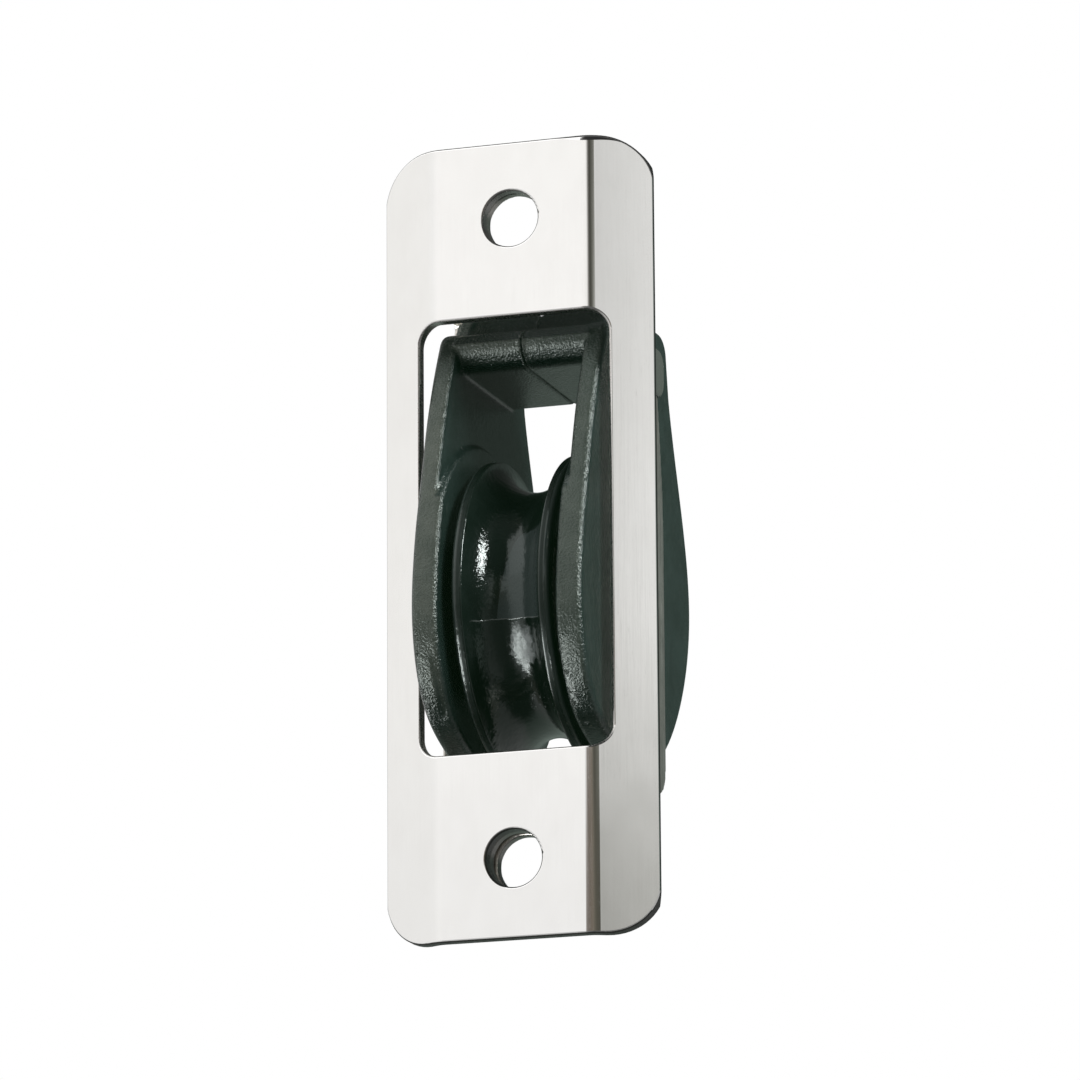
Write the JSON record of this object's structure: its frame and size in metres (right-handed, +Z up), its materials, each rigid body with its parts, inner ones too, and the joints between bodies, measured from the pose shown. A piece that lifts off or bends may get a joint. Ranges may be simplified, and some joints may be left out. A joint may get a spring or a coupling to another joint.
{
  "type": "single sheave block",
  "caption": "Flush exit block: one grooved ball-bearing sheave between moulded cheeks, held by a wrapped strap behind a windowed, swept-back cover plate with screw holes.",
  "frame": {"origin": "front face of the cover plate's centre flat, midway between the two screw holes", "axes": "+X to the right across the plate and along the sheave axle, +Y from the plate into the mast, +Z up along the plate towards the head of the block"},
  "size_m": [0.026, 0.0339, 0.0746],
  "materials": {
    "polished_stainless": "mirror-polished stainless steel sheet with faint grain",
    "satin_stainless": "satin stainless steel strip, lengthwise grain",
    "cheek_plastic": "matte glass-filled nylon, fine moulded grain",
    "sheave_acetal": "semi-gloss acetal, scuffed in the groove",
    "cap_plastic": "turned acetal ring",
    "race_plastic": "turned acetal",
    "ball_plastic": "ground white acetal balls",
    "washer_plastic": "natural low-friction plastic",
    "rivet_stainless": "drawn stainless tube, flared ends"
  },
  "bodies": {
    "frame": {"cover_plate": "polished_stainless", "mounting_strap": "satin_stainless", "left_cheek": "cheek_plastic", "right_cheek": "cheek_plastic", "inner_race": "race_plastic", "left_thrust_washer": "washer_plastic", "right_thrust_washer": "washer_plastic", "axle_tube": "rivet_stainless", "head_rivet": "rivet_stainless", "head_sleeve": "rivet_stainless"},
    "sheave_wheel": {"sheave": "sheave_acetal", "left_bearing_cap": "cap_plastic", "right_bearing_cap": "cap_plastic"},
    "ball_rows": {"left_ball_row": "ball_plastic", "right_ball_row": "ball_plastic"}
  },
  "joints": [
    {"name": "sheave_spin", "type": "hinge", "parent": "frame", "child": "sheave_wheel", "pos_m": [0, 0.0108, -0.00525], "axis": [1, 0, 0], "continuous": true},
    {"name": "ball_orbit", "type": "hinge", "parent": "frame", "child": "ball_rows", "pos_m": [0, 0.0108, -0.00525], "axis": [1, 0, 0], "continuous": true}
  ],
  "couplings": [
    {"joint": "ball_orbit", "follows": "sheave_spin", "ratio": 0.5927}
  ]
}
